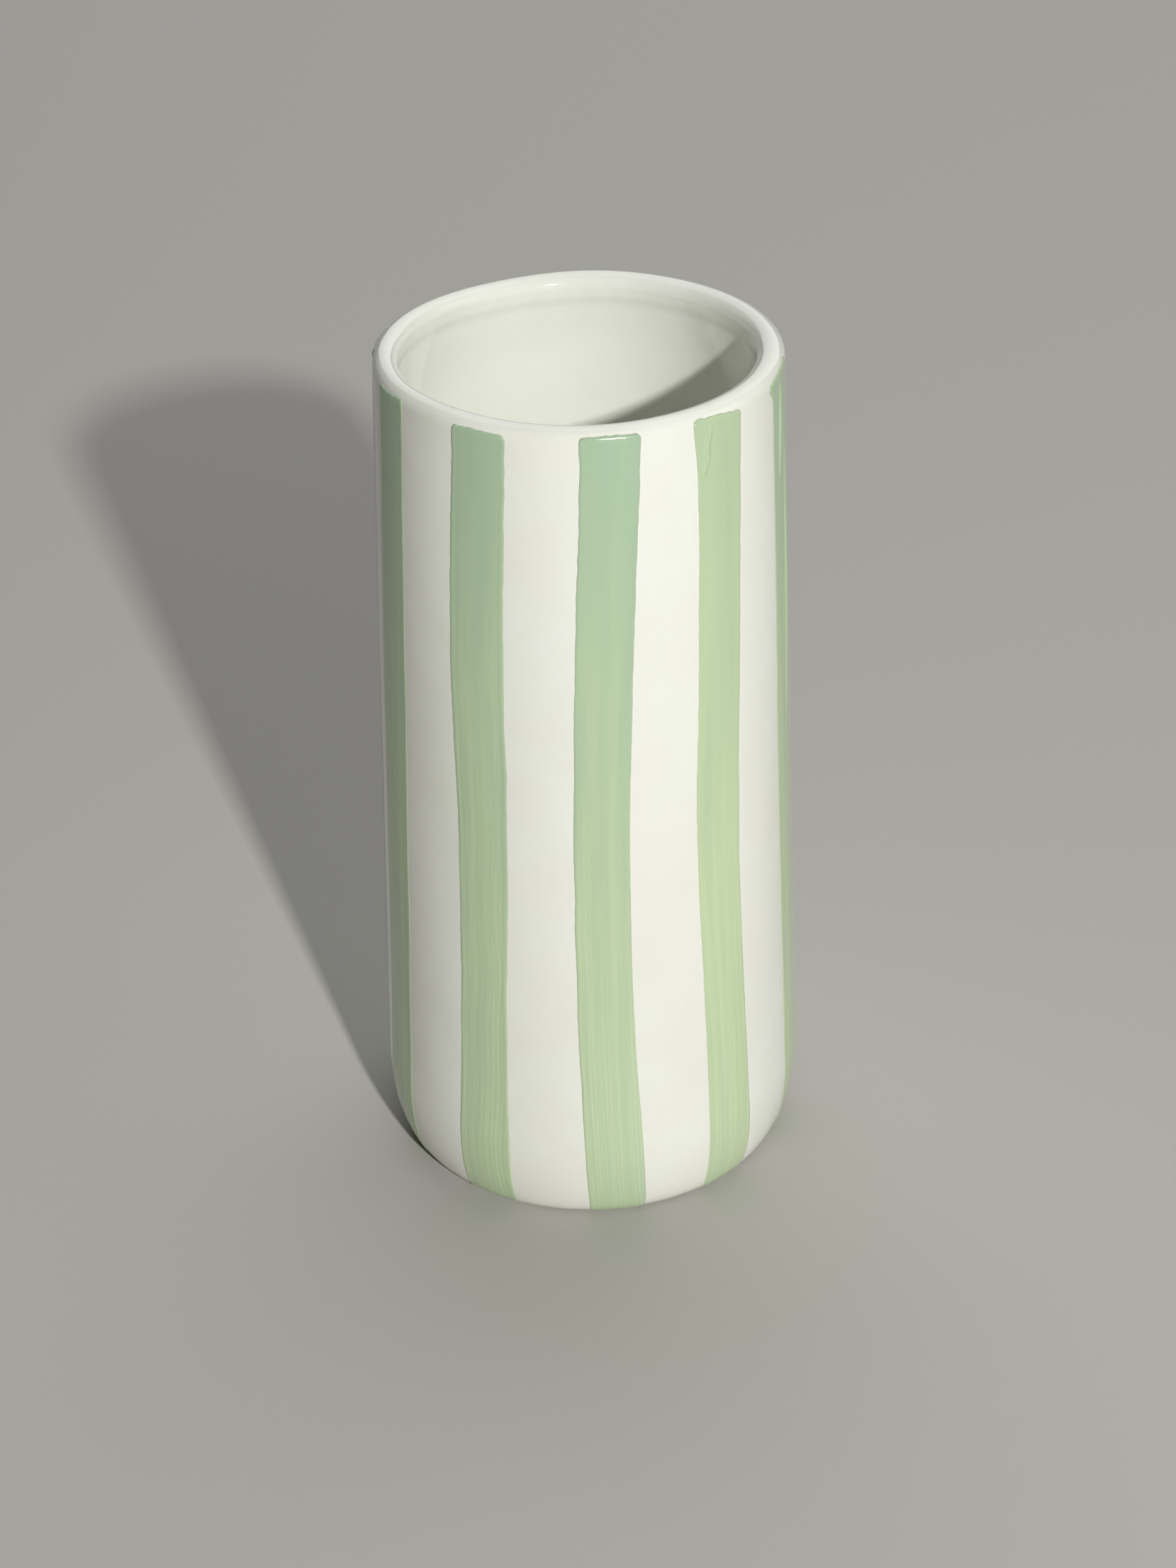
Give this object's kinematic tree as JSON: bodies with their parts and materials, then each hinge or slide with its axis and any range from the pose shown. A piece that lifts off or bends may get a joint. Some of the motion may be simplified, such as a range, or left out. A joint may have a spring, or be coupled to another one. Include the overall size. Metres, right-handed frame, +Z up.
{
  "type": "stoneware pottery vase",
  "caption": "Tall open stoneware vase, gently tapered, with a rolled lip, a rounded foot, glossy white glaze and broad vertical brushed green stripes.",
  "frame": {"origin": "centre of the base, on the surface the vase stands on", "axes": "+Z up along the vase's axis, -Y towards the front, +X to the right seen from the front"},
  "size_m": [0.1232, 0.1236, 0.2502],
  "materials": {
    "bare_stoneware": "matte unglazed",
    "white_glaze": "glossy",
    "green_glaze": "glossy, brushed"
  },
  "bodies": {
    "root": {"clay_body": "bare_stoneware", "white_glaze_coat": "white_glaze", "stripe_01": "green_glaze", "stripe_02": "green_glaze", "stripe_03": "green_glaze", "stripe_04": "green_glaze", "stripe_05": "green_glaze", "stripe_06": "green_glaze", "stripe_07": "green_glaze", "stripe_08": "green_glaze", "stripe_09": "green_glaze", "stripe_10": "green_glaze"}
  },
  "joints": []
}
